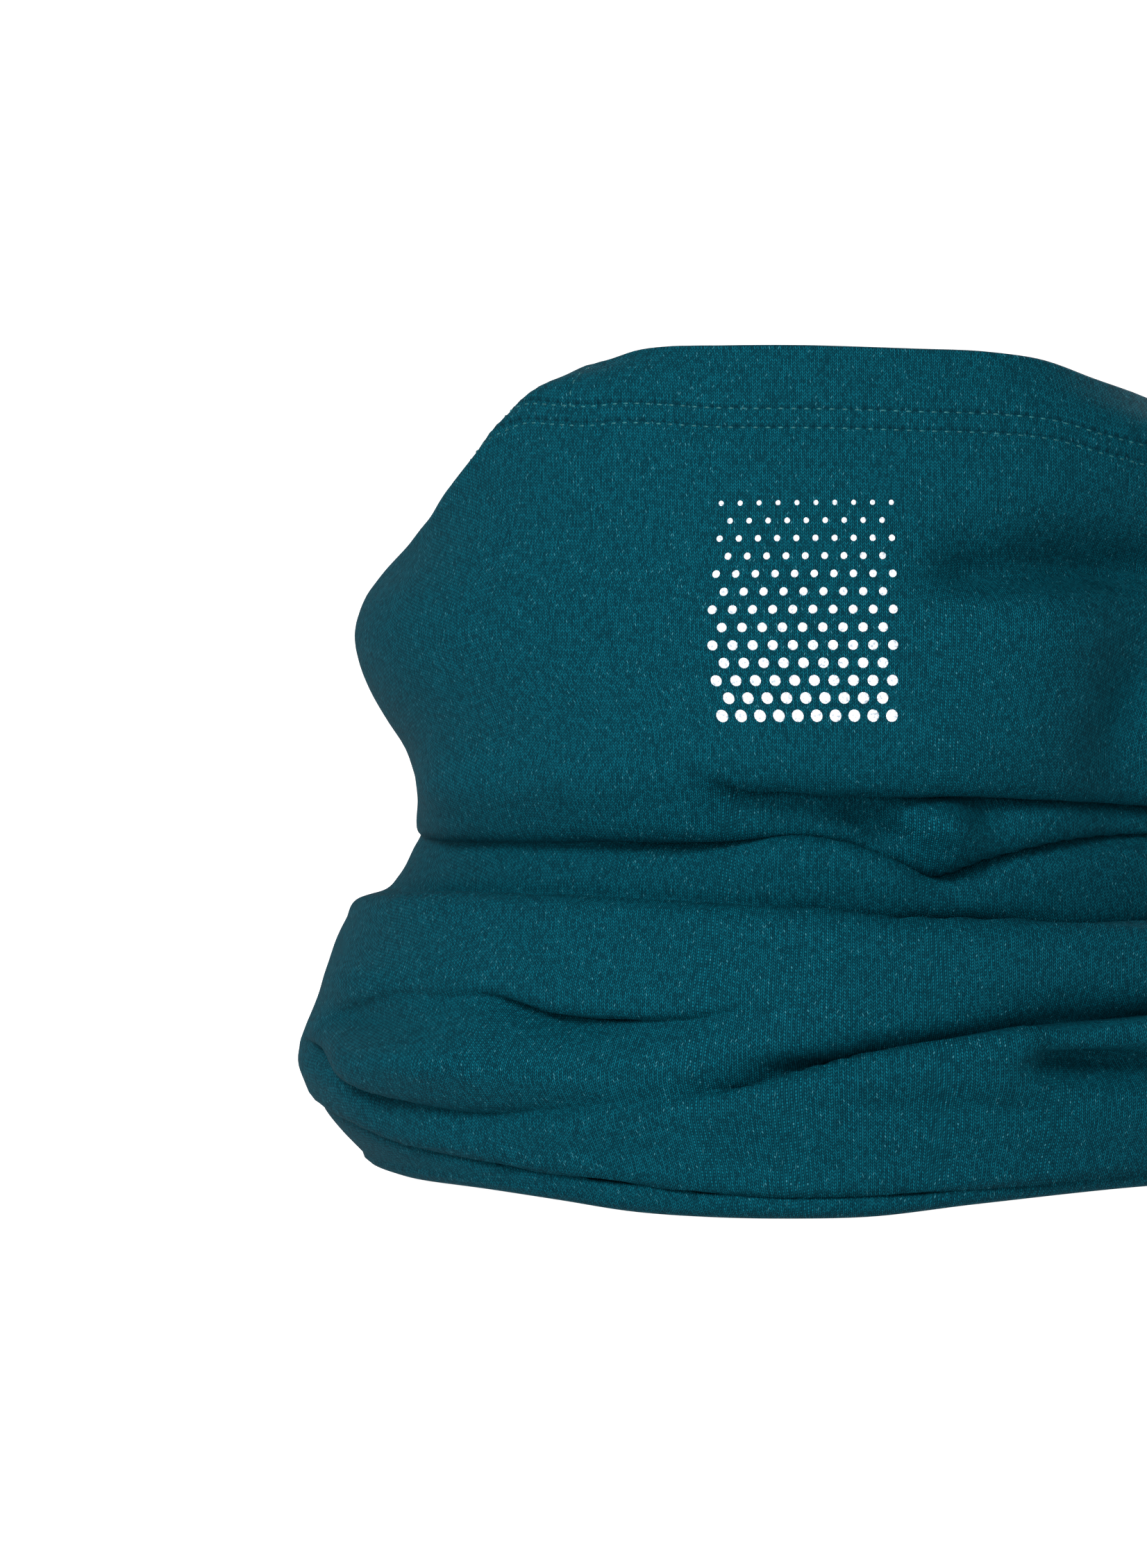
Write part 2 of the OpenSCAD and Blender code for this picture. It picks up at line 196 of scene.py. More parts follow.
# Each fold runs round the tube along a line of heights. Where it is "over", the cloth above hangs over the
# cloth below; where it is "under", the cloth below stands up in front. Both are strengths round the tube.
# depth is how far the crease goes in, lip and drop how far the front cloth stands out and reaches over it,
# near and far how wide the crease is on the side of the front cloth and on the other side, all in mm.
# The tables give values at angles round the tube.
LIP_AT, LIP_W = 1.5, 1.4                      # the lip's middle and half width, as multiples of near
HANG_W = 0.9                                  # the same for half the width that reaches over
HANG_EDGE = 0.5                               # the reach sets in over this far on each side of the line
NOWHERE = {-180: 0, 0: 0}                     # a strength of nothing, all round the tube
FOLDS = {
    "neck_upper": dict(
        line={
            -180: 2, -140: -1, -100: 4, -60: 6, -30: 4.2, -20: 3.8, -16.5: 5.2, -12.5: 5.6, -6: 5,
            3: 4.4, 11: 4.1, 21: 3.7, 38: 2.9, 70: 0, 110: 3, 150: 5,
        },
        over={
            -180: 0.9, -140: 0.5, -110: 0.3, -80: 0, -40: 0, -22: 0, -19: 0.15, -16.2: 1.1,
            -10: 1.35, 0: 1.3, 12: 1.05, 30: 1.1, 60: 1, 90: 0.5, 120: 0.8, 150: 1,
        },
        under=NOWHERE,
        depth=6, lip=0.7, drop=2.7, near=2, far=2.7,
    ),
    "neck_middle": dict(
        line={
            -180: -8, -140: -10, -100: -4, -72: -4.8, -57: -4.7, -43: -4.6, -29: -3.6, -16: -3.6,
            -10: -3.9, -4: -5.8, 1: -8.1, 7: -9.8, 14: -7, 23: -4.3, 30: -3, 38: -2.3, 70: -6,
            110: -9, 150: -6,
        },
        over={
            -180: 0.7, -140: 0.6, -110: 0.3, -82: 0.3, -64: 0.5, -44: 0.6, -36: 0.75, -30: 1,
            -18: 1, -11: 0.45, -5: 0.1, 5: 0.1, 8: 0.8, 16: 1, 25: 1, 38: 1.1, 70: 0.6, 110: 1,
            150: 0.5,
        },
        under={-180: 0, -20: 0, -12: 0.3, -6: 0.9, 3: 1.15, 6.5: 0.6, 10: 0, 150: 0},
        depth=5.2, lip=0.8, drop=2.5, near=1.9, far=3.6,
    ),
    "neck_lower": dict(
        line={
            -180: -17, -140: -15, -100: -14.5, -70: -15, -62: -14.8, -40: -14.8, -30: -15.1,
            -21: -15.8, -13: -16.6, -5: -17.6, 2: -19.5, 9: -20.2, 17: -20.7, 32: -20.6, 70: -15,
            110: -18, 150: -19,
        },
        over={-180: 0.3, -100: 0, 40: 0, 70: 0.4, 110: 0.4, 150: 0.3},
        under={
            -180: 0.5, -120: 0.3, -90: 0.15, -74: 0.5, -60: 0.7, -40: 0.7, -13: 0.8, 2: 1.2,
            12: 1.4, 32: 1.2, 60: 0.8, 100: 0.4, 150: 0.6,
        },
        depth=5.4, lip=1, drop=3.2, near=1.4, far=3.2,
    ),
    "left_tuck": dict(
        line={
            -180: -33, -100: -46, -82: -40, -70: -34, -58: -30.5, -50: -30.6, -43: -30, -40: -30.2,
            -35: -31.7, -31: -32.5, -25: -33.1, -20: -33.1, -13.5: -32, -5: -31, 60: -31,
        },
        over={
            -180: 0, -80: 0, -73: 0.12, -65: 0.22, -57: 0.25, -50: 0.3, -43: 0.5, -39.5: 0.9,
            -35: 1, -30: 0.85, -24: 0.6, -17: 0.4, -10: 0.15, -2: 0, 60: 0,
        },
        under=NOWHERE,
        depth=6, lip=1.2, drop=2.5, near=2, far=6,
    ),
    "belly": dict(
        line={
            -180: -38, -140: -42, -100: -44, -80: -40, -70: -42, -62: -46, -53: -48.4, -44: -49.5,
            -35: -48.7, -26: -47.6, -19: -46.4, -12: -44.8, -6: -42.5, -1: -40.3, 5: -38.6, 12: -37,
            19: -35.7, 29: -35.1, 60: -34, 100: -40, 140: -37,
        },
        over={
            -180: 0.6, -140: 0.4, -100: 0, -84: 0.25, -72: 0.9, -62: 0.85, -53: 0.5, -44: 0.35,
            -34: 0.15, -20: 0, 40: 0, 60: 0.3, 100: 0.5, 140: 0.6,
        },
        under={
            -180: 0, -100: 0, -70: 0, -60: 0.1, -44: 0.25, -30: 0.3, -20: 0.3, -14: 0.7, -8: 1.1,
            0: 1.15, 12: 1.25, 22: 1.5, 32: 1.5, 60: 0.7, 100: 0.2, 140: 0,
        },
        depth=6, lip=0.7, drop=2.2, near=1.5, far=4.8,
    ),
    "right_tuck": dict(
        line={
            -180: -44, -60: -44, 10: -41.5, 15: -40.6, 17: -39.4, 20: -38.8, 28: -38.6, 45: -40.5,
            70: -43, 120: -44,
        },
        over={-180: 0, -60: 0, 13: 0, 16.3: 0.4, 18.5: 0.95, 30: 1, 48: 0.7, 68: 0, 120: 0},
        under=NOWHERE,
        depth=6.8, lip=1.7, drop=2.1, near=1.2, far=6,
    ),
    "chin": dict(
        line={-180: 38, 0: 37.8, 6: 38, 14: 38.4, 24: 39, 33: 39.6, 60: 42, 90: 41},
        over={-180: 0, 3: 0, 7: 0.35, 11: 0.9, 18: 1.1, 40: 1.1, 60: 0.3, 75: 0, 90: 0},
        under=NOWHERE,
        depth=8, lip=0, drop=0, near=7, far=3.5,
    ),
    "foot": dict(
        line={
            -180: -58, -140: -57.5, -100: -52.5, -90: -50.5, -71: -52.9, -60: -55.4, -47: -56.9,
            -38: -58.5, -29: -59.4, -21: -60.6, -12: -61.3, 2: -60.9, 17: -59.5, 32: -58.5,
            60: -56.5, 100: -57, 140: -58.5,
        },
        over={
            -180: 0.8, -140: 1, -100: 0.4, -78: 0.4, -57: 0.8, -27: 0.9, 0: 0.9, 32: 1, 60: 0.8,
            100: 1, 140: 0.7,
        },
        under=NOWHERE,
        depth=2.5, lip=0.7, drop=1.7, near=1.2, far=1.3,
    ),
}

# Soft swells and hollows: angle, height, half width in degrees, half height in mm, and how far out. Those
# without a note carry on the one above, or are in the guessed part at the sides and the back.
SWELLS = [
    (9.5, -2.2, 4, 3.2, 6.2),     # the lit bump between the two upper neck folds
    (-1, 0, 4.2, 3, -6),          # the dark hollow beside it, which slants down to the middle fold
    (2.5, -3.6, 3.2, 2.5, -5.2),
    (-11, 0.4, 8, 2.6, -3),
    (15, 0.5, 3, 2.5, -2),
    (-60, 4, 16, 6.5, 5.4),       # the cloth hangs straighter over the neck in front than at the sides
    (-33, 4, 16, 6.5, 5.4),
    (4, 9, 18, 3.6, 0.9),         # the soft roll above the upper neck fold
    (-50, -41.5, 14, 4, 2.8),     # the lobe at the lower left
    (-72, -28.5, 12, 3, 1.6),
    (-64, -35.5, 12, 3, -2),
    (-3, -27, 8, 6, 0.9),
    (-7, -41, 4.5, 2, -3.2),      # the pocket over the belly fold
    (12, -18.3, 9, 1.8, -2.2),    # the lower neck fold is deepest here
    (13, -47.6, 15, 2.6, -2.1),   # the long shallow valley above the lower band
    (-12, 59.3, 22, 2.2, 1.5),    # the cloth swells out under the hem
    (18, 30, 9, 9, 2.4),          # the ridge to the lower right of the print
    (35, 20, 8, 18, -6.5),        # the hollow beyond it
    (26, 44.5, 10, 5, -3.2),
    (20, -31, 13, 3.5, -1.8),     # the cloth tucks in behind the belly fold
    (26.5, -42.2, 7.5, 3.2, -3),  # the pocket under the right tuck
    (-16, 2.6, 2, 2, -1.8),       # the end of the upper neck fold
    (-74, 45, 14, 6, -2.2),
    (60, -22, 20, 5, 2),
    (-100, -24, 18, 6, 1),
    (150, 18, 22, 9, -3),
    (-150, 12, 18, 10, 2.5),
    (110, 30, 18, 12, -2),
    (175, -26, 20, 6, 3),
    (-125, -50, 20, 6, -2.5),
    (120, -52, 24, 5, 2),
]


def form(angle, height):
    """Where the smooth tube is at an angle and height, and the level direction that faces out of it."""
    turn = np.radians(angle)
    # the shoulder follows the lowest of the neck folds round the tube
    lift = through(FOLDS["neck_lower"]["line"], angle, around=True) - SHOULDER
    shape_at = height - lift * hump(height - SHOULDER - lift / 2, SHOULDER_REACH)
    side = through(SIDE, shape_at)
    deep = np.where(np.cos(turn) > 0, through(FRONT, shape_at), through(BACK, shape_at))
    spot = np.stack([side * np.sin(turn), -deep * np.cos(turn), height], -1)
    out = np.stack([np.sin(turn) / side, -np.cos(turn) / deep, np.zeros_like(side)], -1)
    return spot, unit(out)


def lean(angle, drop):
    """How far in the leaning top edge is, and how much height the lean costs, at a drop below the edge."""
    start = through(BEND, angle, around=True)
    most = np.radians(through(LEAN, angle, around=True))
    run = np.clip(start - drop, 0, None)
    parts = (np.arange(BEND_PARTS) + 0.5) / BEND_PARTS
    tilt = most[..., None] * rise(run[..., None] * (1 - parts) / BEND_LENGTH)
    return run * np.sin(tilt).mean(-1), run * (1 - np.cos(tilt).mean(-1))


def top_of(angle):
    """The height that the top edge would have if the cloth didn't lean."""
    angle = np.asarray(angle, float)
    return through(RIM, angle, around=True) + lean(angle, np.zeros_like(angle))[1]


def fold(shape, angle, height):
    """How far one fold moves the cloth out and down."""
    up = height - through(shape["line"], angle, around=True)
    over = np.clip(through(shape["over"], angle, around=True), 0, None)
    under = np.clip(through(shape["under"], angle, around=True), 0, None)
    near, far = shape["near"], shape["far"]
    turned = under / (over + under + 1e-6)
    above = near + (far - near) * turned
    below = far + (near - far) * turned
    crease = 1 / (1 + (up / np.where(up > 0, above, below)) ** 2) ** 2
    lip_above = hump(up - LIP_AT * near, LIP_W * near)
    lip_below = hump(up + LIP_AT * near, LIP_W * near)
    hang = over * hump(up - near, HANG_W * near) * rise(up + HANG_EDGE)
    stand = under * hump(up + near, HANG_W * near) * rise(HANG_EDGE - up)
    out_by = shape["lip"] * (over * lip_above + under * lip_below)
    out_by -= shape["depth"] * (over + under) * crease
    return out_by, shape["drop"] * (hang - stand)


def relief(angle, height):
    """How far all the folds and swells together move the cloth out and down."""
    out_by = np.zeros_like(height)
    down_by = np.zeros_like(height)
    for shape in FOLDS.values():
        out, down = fold(shape, angle, height)
        out_by += out
        down_by += down
    for at, level, wide, high, out in SWELLS:
        out_by += out * hump(degrees_from(at, angle), wide) * hump(height - level, high)
    return out_by, down_by


def cloth(angle, drop):
    """The middle of the cloth at an angle, and a distance below the top edge before it folds."""
    angle, drop = np.broadcast_arrays(np.asarray(angle, float), np.asarray(drop, float))
    foot = through(FOOT, angle, around=True) + ROLL
    height = top_of(angle) - drop
    in_by, leant_by = lean(angle, drop)
    out_by, down_by = relief(angle, height)
    out_by = out_by - in_by
    down_by = down_by + leant_by
    # the hem is two plies thick, its stitches draw the cloth in, and the seam's end shows as a groove in it
    out_by += HEM_STEP * (1 - rise((drop - HEM_D + HEM_FADE_FROM) / HEM_FADE))
    for row in (ROW_IN, ROW_IN + ROW_GAP):
        out_by -= ROW_DIP * hump(drop - row, ROW_DIP_W)
    in_hem = 1 - rise((drop - ROW_IN) / HEM_FADE)
    out_by -= SEAM_DIP * hump(degrees_from(SEAM_AT, angle), SEAM_DIP_W) * in_hem
    # cloth that would go below the lower edge stays at it, and folds don't pull the last of it down
    spot, out = form(angle, np.maximum(height, foot))
    spot = spot + out * out_by[..., None]
    spot[..., 2] -= np.where(height > foot + FOOT_STILL, down_by, 0)
    return spot


# ---------------------------------------------------------------- the panel, as a grid of points

angles = SEAM_AT + np.arange(COLUMNS) * 360 / COLUMNS
full_drop = top_of(angles) - through(FOOT, angles, around=True) - ROLL
steps = np.concatenate([np.linspace(*stretch) for stretch in STRETCHES])
# near the top a row is a fixed distance below the edge; lower down the rows spread to reach the foot
share = rise((steps - EVEN_TO) / (steps[-1] - EVEN_TO))
drops = steps[:, None] + share[:, None] * (full_drop[None, :] - steps[-1])
outer = cloth(angles[None, :], drops)


def normals(grid):
    """Outward directions of a grid whose rows go down and whose columns go round."""
    down = np.gradient(grid, axis=0)
    along = np.roll(grid, -1, axis=1) - np.roll(grid, 1, axis=1)
    return unit(np.cross(down, along))


outer_out = normals(outer)


def read_grid(values, column, row):
    """Values of a grid between its points. Columns wrap round."""
    c0 = np.floor(column).astype(int)
    r0 = np.clip(np.floor(row).astype(int), 0, len(values) - 2)
    c = (column - c0)[..., None]
    r = (row - r0)[..., None]
    left, right = c0 % COLUMNS, (c0 + 1) % COLUMNS
    upper = values[r0, left] * (1 - c) + values[r0, right] * c
    lower = values[r0 + 1, left] * (1 - c) + values[r0 + 1, right] * c
    return upper * (1 - r) + lower * r


def on_outer(angle, drop):
    """The outer ply's middle and its outward direction, at an angle and a drop below the top edge."""
    angle, drop = np.broadcast_arrays(np.asarray(angle, float), np.asarray(drop, float))
    column = (angle - SEAM_AT) / 360 * COLUMNS
    nearest = np.round(column).astype(int) % COLUMNS
    rows = np.arange(len(steps))
    row = [np.interp(d, drops[:, i], rows) for i, d in zip(nearest.flat, drop.flat)]
    row = np.array(row).reshape(drop.shape)
    return read_grid(outer, column, row), unit(read_grid(outer_out, column, row))


def on_turned(angle, up):
    """The turned-under ply's middle and the direction its face looks, which is inwards.

    The place is an angle and a distance up from the lower edge.
    """
    angle, up = np.broadcast_arrays(np.asarray(angle, float), np.asarray(up, float))
    foot = through(FOOT, angle, around=True)
    spot, out = form(angle, foot + up)
    sway = sum(
        size * np.sin(np.radians(per_degree * angle + per_mm * up))
        for size, per_degree, per_mm in TURN_WAVES
    )
    free = rise(up / TURN_FREE)
    # where a pocket in the outer ply is deep, this ply keeps clear of it
    pocket = -relief(angle, foot + up)[0]
    inside = np.maximum(TURN_INSIDE + sway * free, (pocket + POCKET_CLEARANCE) * free)
    return spot - out * inside[..., None], -out


def upper_hem():
    """Rows from the hem's raw edge, inside, up to the fold at the top edge."""
    rows = []
    for depth in np.linspace(HEM_D, 1, HEM_ROWS):
        spots, faces = on_outer(angles, np.full(COLUMNS, depth))
        rows.append(spots - faces * PLY_GAP)
    up = unit(outer[0] - outer[1])
    for part in (0.85, 0.5, 0.15):
        swing = math.pi * part
        in_by = PLY_GAP / 2 * (1 - math.cos(swing))
        rows.append(outer[0] - outer_out[1] * in_by + up * PLY_GAP / 2 * math.sin(swing))
    return np.array(rows)


def turned_under():
    """Rows from the lower edge, round the fold, up the inside to the lower hem's fold, and down the hem."""
    rows = []
    start = outer[-1]
    end, _ = on_turned(angles, ROLL)
    for part in np.linspace(0, 1, ROLL_ROWS + 2)[1:-1]:
        spot = start + (end - start) * (1 - math.cos(math.pi * part)) / 2
        spot[:, 2] -= ROLL * ROLL_DEPTH * math.sin(math.pi * part)
        rows.append(spot)
    for up in np.linspace(ROLL, TURN_H, TURN_ROWS):
        rows.append(on_turned(angles, up)[0])
    top, face = on_turned(angles, TURN_H)
    for part in (0.25, 0.5, 0.75):
        swing = math.pi * part
        spot = top - face * PLY_GAP / 2 * (1 - math.cos(swing))
        spot[:, 2] += PLY_GAP / 2 * math.sin(swing)
        rows.append(spot)
    for down in np.linspace(0, HEM_D, LOWER_HEM_ROWS):
        spot, face = on_turned(angles, TURN_H - down)
        rows.append(spot - face * PLY_GAP)
    return np.array(rows)


# ---------------------------------------------------------------- making meshes

def add_object(name, data):
    """Put a new object into the scene."""
    thing = bpy.data.objects.new(name, data)
    bpy.context.collection.objects.link(thing)
    return thing


def make_mesh(name, points, faces, material):
    """A smooth object from points in mm, with one material."""
    mesh = bpy.data.meshes.new(name)
    mesh.from_pydata((np.asarray(points) * MM).tolist(), [], faces)
    mesh.validate()
    mesh.polygons.foreach_set("use_smooth", [True] * len(mesh.polygons))
    mesh.materials.append(material)
    return add_object(name, mesh)


def lay_flat(piece, flat):
    """Keep each corner's place on the flat cloth, in mm, as the layer that the knit material reads."""
    layer = piece.data.uv_layers.new(name="knit")
    layer.data.foreach_set("uv", (np.asarray(flat) * MM).ravel())


def ring_faces(rings, sides, closed=False, first=0):
    """Quads between rings of points. The last ring joins the first if closed is true."""
    return [
        (
            first + r * sides + k,
            first + (r + 1) % rings * sides + k,
            first + (r + 1) % rings * sides + (k + 1) % sides,
            first + r * sides + (k + 1) % sides,
        )
        for r in range(rings if closed else rings - 1)
        for k in range(sides)
    ]


def tube_mesh(name, grid, edge_row, material):
    """A closed ring of cloth from a grid whose rows go down and whose columns go round, and its length.

    Places on the flat cloth are measured down from the row that is the top edge.
    """
    rows, columns = grid.shape[:2]
    piece = make_mesh(name, grid.reshape(-1, 3), ring_faces(rows, columns), material)
    lengths = np.linalg.norm(np.diff(grid, axis=0), axis=-1)
    down = np.concatenate([np.zeros((1, columns)), np.cumsum(lengths, axis=0)])
    down = down - down[edge_row]
    around = TUBE_FLAT / columns
    flat = [
        corner
        for r in range(rows - 1)
        for c in range(columns)
        for corner in (
            (c * around, down[r, c]),
            (c * around, down[r + 1, c]),
            ((c + 1) * around, down[r + 1, (c + 1) % columns]),
            ((c + 1) * around, down[r, (c + 1) % columns]),
        )
    ]
    lay_flat(piece, flat)
    return piece, float((down[-1] - down[0]).mean())


def thicken(piece, thickness, inside=0):
    """Give a thin piece a thickness in mm. inside is the number of its inner side's material."""
    solid = piece.modifiers.new("thickness", "SOLIDIFY")
    solid.thickness = thickness * MM
    solid.offset = 0
    solid.material_offset = inside
    graph = bpy.context.evaluated_depsgraph_get()
    mesh = bpy.data.meshes.new_from_object(piece.evaluated_get(graph), depsgraph=graph)
    piece.modifiers.clear()
    piece.data = mesh


def sweep(paths, outline):
    """Points and faces of an outline swept along paths of (points, outward directions, closed)."""
    points, faces = [], []
    sides = len(outline)
    for path, out, closed in paths:
        if closed:
            heading = unit(np.roll(path, -1, axis=0) - np.roll(path, 1, axis=0))
        else:
            heading = unit(np.gradient(path, axis=0))
        up = unit(out - np.sum(out * heading, axis=-1, keepdims=True) * heading)
        across = np.cross(heading, up)
        first = len(points)
        rings = path[:, None] + across[:, None] * outline[None, :, :1] + up[:, None] * outline[None, :, 1:]
        points.extend(rings.reshape(-1, 3))
        faces += ring_faces(len(path), sides, closed, first)
        if not closed:
            faces.append(tuple(first + k for k in range(sides)))
            faces.append(tuple(first + (len(path) - 1) * sides + k for k in reversed(range(sides))))
    return points, faces


def circle(radius, sides=6):
    """The outline of a round thread."""
    turn = np.arange(sides) / sides * 2 * math.pi
    return np.stack([np.cos(turn), np.sin(turn)], -1) * radius


def finish_piece(piece, slot, *nodes):
    """Hide the CAD nodes that a piece stands for, and put it on the one body."""
    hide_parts(*nodes)
    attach(piece, "root")


def thread_piece(name, paths):
    """A thread swept along paths, standing for the CAD node of the same name."""
    points, faces = sweep(paths, circle(THREAD_R))
    finish_piece(make_mesh(name + "_stitched", points, faces, thread), "thread", name)


# A stitch from hole to hole: how far each of its points stands off the cloth's face, in mm.
STITCH_LIFT = np.array([-0.6, -0.45, -0.12, 0.06, -0.12, -0.45])


def stitched(surface, place_of, count, closed):
    """A run of stitches on a surface, where place_of turns 0 to count into the surface's two places."""
    per = len(STITCH_LIFT)
    total = count * per if closed else count * per + 1
    spots, faces = surface(*place_of(np.arange(total) / per))
    lift = CLOTH_T / 2 + STITCH_LIFT[np.arange(total) % per]
    return spots + faces * lift[:, None], faces, closed


# ---------------------------------------------------------------- materials

# Colours are linear red, green and blue.
GAP_SHADE_COLOUR = (0.0002, 0.012, 0.020)           # painted shade between the loops
YARN_COLOUR = (0.0024, 0.118, 0.166)
GLINT_COLOUR = (0.09, 0.32, 0.38)             # a filament that catches the light
THREAD_DARK, THREAD_LIGHT = (0.002, 0.05, 0.06), (0.012, 0.14, 0.16)
FILM_DARK, FILM_LIGHT = (0.30, 0.36, 0.42), (0.88, 0.90, 0.94)
SATIN_DARK, SATIN_LIGHT = (0.62, 0.63, 0.62), (0.86, 0.86, 0.84)
PAPER_DARK, PAPER_LIGHT = (0.40, 0.40, 0.40), (0.43, 0.43, 0.43)

LEG_SLANT = 2.0                               # how many courses a leg of a loop rises over one wale
ARC_RISE = 1.2                                # how strongly the arcs on the back are bent
ARC_THIN = 0.9                                # how fast an arc gets fainter towards its ends
LOOP_DIM, LOOP_RANGE = 0.38, 0.84             # brightness of the dimmest loop, and the most that is added
LIT_LEG_GAIN, SHADED_LEG_LOSS = 1.08, 0.2          # painted light: brightness of a loop's left leg, which faces the light, and the painted shade by which its right leg is darker
HOLE_SHADE, ROW_SHADE = 0.75, 0.25             # strength of the painted shade in the needle holes, and of the painted shade that runs all along a row
PATCH_SCALE, PATCH_STRENGTH = 700, 0.06       # clouds of uneven dye to a metre, and their strength
GLINT_ABOVE, GLINT_STRENGTH = 0.982, 0.45     # share of loops without a glint, and strength of the others'
LOOP_HEIGHT = 0.13                            # relief of the knit, in mm
FINE_RELIEF = 0.05                            # relief of thread, film and ribbon, in mm
RIB = 0.35                                    # distance between the ribbon's ribs, in mm
PAPER_GLOW, PAPER_GLOW_SEEN = 0.58, 0.37      # the paper's own light, and more that only the camera sees


def new_material(name):
    """A material with its nodes, its links and its main shader."""
    material = bpy.data.materials.new(name)
    material.use_nodes = True
    nodes = material.node_tree.nodes
    return material, nodes, material.node_tree.links, nodes["Principled BSDF"]


def calculator(nodes, links):
    """A function that adds a Math node, given its operation and its inputs, and returns its output."""
    def calc(operation, *values):
        node = nodes.new("ShaderNodeMath")
        node.operation = operation
        for socket, value in zip(node.inputs, values):
            if isinstance(value, (int, float)):
                socket.default_value = value
            else:
                links.new(value, socket)
        return node.outputs[0]
    return calc


def noise(nodes, links, place, scale, detail=2):
    """Cloudy noise at a place, 0 to 1, with so many clouds to a metre."""
    node = nodes.new("ShaderNodeTexNoise")
    node.inputs["Scale"].default_value = scale
    node.inputs["Detail"].default_value = detail
    links.new(place, node.inputs["Vector"])
    return node.outputs["Fac"]


def ramp(nodes, links, value, low, high, low_colour, high_colour):
    """A colour that goes from one to another as a value goes from low to high."""
    node = nodes.new("ShaderNodeValToRGB")
    first, last = node.color_ramp.elements
    first.position, first.color = low, (*low_colour, 1)
    last.position, last.color = high, (*high_colour, 1)
    links.new(value, node.inputs[0])
    return node.outputs[0]


def bump(nodes, links, shader, height, strength, distance):
    """Fine relief on a shader, whose height of 1 stands for a distance in mm."""
    node = nodes.new("ShaderNodeBump")
    node.inputs["Strength"].default_value = strength
    node.inputs["Distance"].default_value = distance * MM
    links.new(height, node.inputs["Height"])
    links.new(node.outputs[0], shader.inputs["Normal"])


def set_surface(links, shader, colour, roughness, shine=0.5):
    """Give a shader its colour, its roughness and the strength of its shine."""
    links.new(colour, shader.inputs["Base Color"])
    shader.inputs["Roughness"].default_value = roughness
    shader.inputs["Specular IOR Level"].default_value = shine


def painted_leg_light(calc, wales):
    """Painted light and shade: the left leg of each loop, which faces the light, is brighter than the right
    one.
    """
    right = calc("GREATER_THAN", calc("FRACT", wales), 0.5)
    return calc("SUBTRACT", LIT_LEG_GAIN, calc("MULTIPLY", right, SHADED_LEG_LOSS))


def needle_hole_shade(calc, around, down):
    """Painted shade in the dimples where the top hem's two rows of stitches go through the cloth."""
    phase = calc("FRACT", calc("DIVIDE", around, TUBE_FLAT / STITCHES * MM))
    from_middle = calc("ABSOLUTE", calc("SUBTRACT", phase, 0.5))
    near_hole = calc("POWER", calc("MULTIPLY", from_middle, 2), 2)
    rows = []
    for row in (ROW_IN, ROW_IN + ROW_GAP):
        off = calc("ABSOLUTE", calc("SUBTRACT", down, row * MM))
        rows.append(calc("MAXIMUM", 0, calc("SUBTRACT", 1, calc("DIVIDE", off, HOLE_R * MM))))
    along_row = calc("ADD", ROW_SHADE, near_hole)
    return calc("MULTIPLY", calc("MULTIPLY", calc("ADD", *rows), along_row), HOLE_SHADE)


